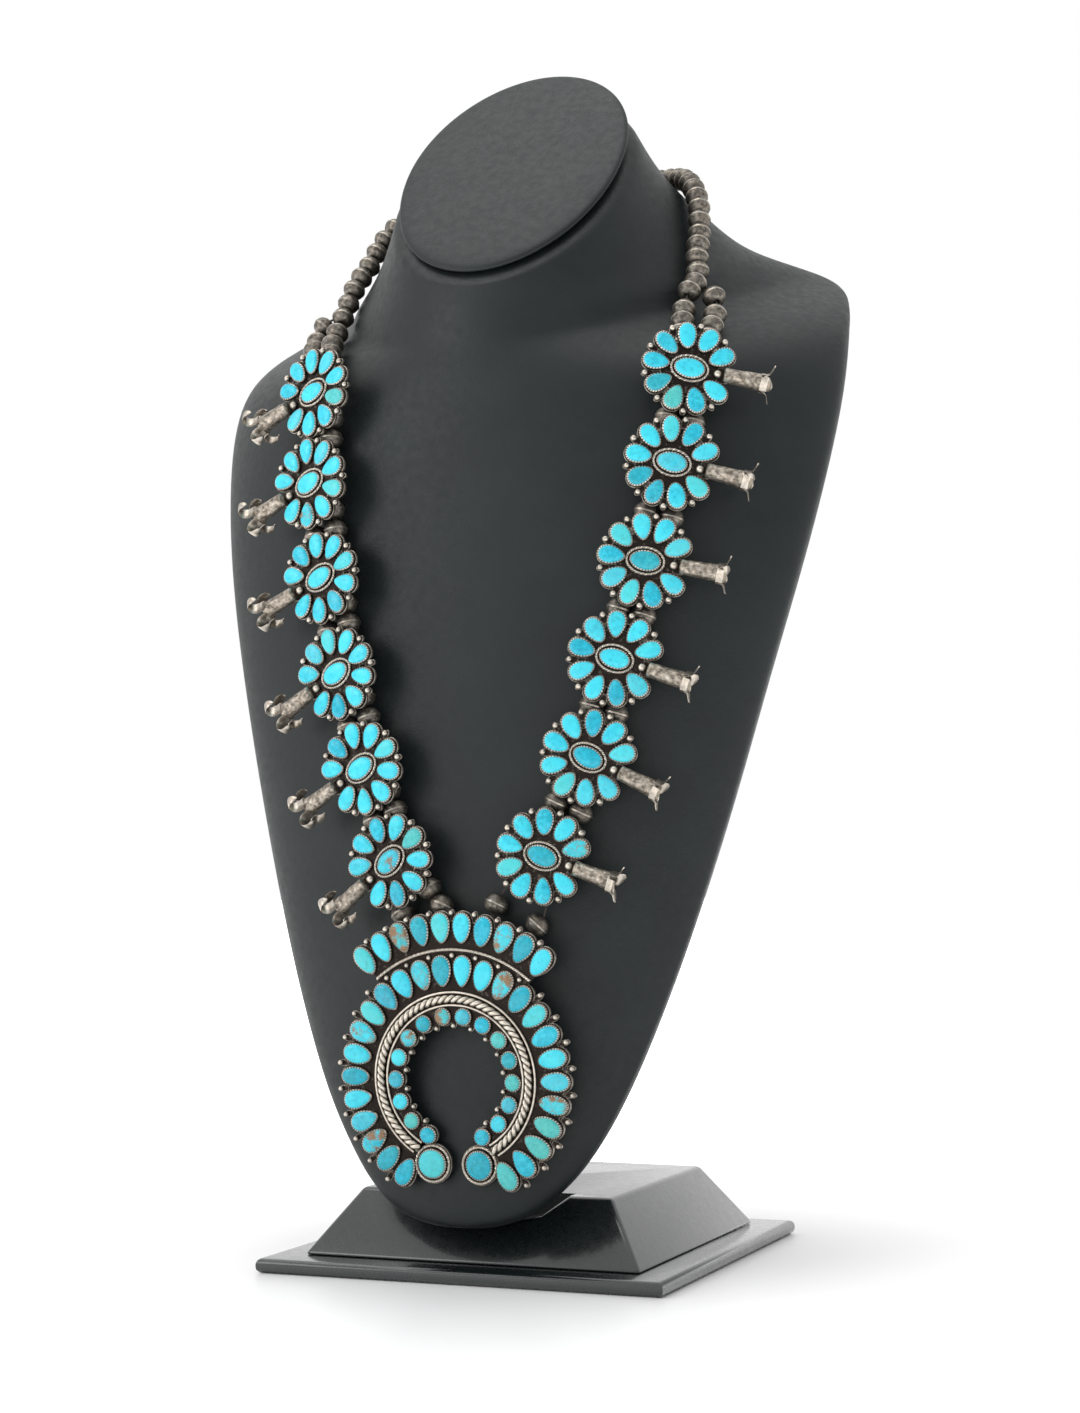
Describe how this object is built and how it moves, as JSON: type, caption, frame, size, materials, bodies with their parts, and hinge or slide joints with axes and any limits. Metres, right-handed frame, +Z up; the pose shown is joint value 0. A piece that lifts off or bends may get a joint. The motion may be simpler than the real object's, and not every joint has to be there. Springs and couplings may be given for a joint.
{
  "type": "squash blossom necklace on a neck bust stand",
  "caption": "Silver and turquoise squash blossom necklace with a horseshoe pendant, held on a leatherette neck bust that stands on a plinth and slab.",
  "frame": {"origin": "middle of the slab's underside, on the surface the stand rests on", "axes": "+Z up, front of the bust and the necklace towards -Y, +X to the viewer's right"},
  "size_m": [0.2452, 0.1624, 0.4453],
  "materials": {
    "leatherette": "satin grained",
    "silver": "worn, oxidised in the recesses",
    "bead_silver": "dark oxidised",
    "turquoise": "polished",
    "thread": "twisted"
  },
  "bodies": {
    "root": {"slab": "leatherette", "block": "leatherette", "bust": "leatherette", "neck_cap": "leatherette", "naja": "silver", "naja_crest_stones": "turquoise", "naja_rim_stones": "turquoise", "naja_inner_stones": "turquoise", "blossom_r1": "silver", "blossom_r2": "silver", "blossom_r3": "silver", "blossom_r4": "silver", "blossom_r5": "silver", "blossom_r6": "silver", "blossom_l1": "silver", "blossom_l2": "silver", "blossom_l3": "silver", "blossom_l4": "silver", "blossom_l5": "silver", "blossom_l6": "silver", "stones_r1": "turquoise", "stones_r2": "turquoise", "stones_r3": "turquoise", "stones_r4": "turquoise", "stones_r5": "turquoise", "stones_r6": "turquoise", "stones_l1": "turquoise", "stones_l2": "turquoise", "stones_l3": "turquoise", "stones_l4": "turquoise", "stones_l5": "turquoise", "stones_l6": "turquoise", "beads_nape": "bead_silver", "beads_outer": "bead_silver", "beads_inner": "bead_silver", "thread_nape": "thread", "thread_outer": "thread", "thread_inner": "thread", "ring_right": "silver", "ring_left": "silver", "clasp": "silver"}
  },
  "joints": []
}
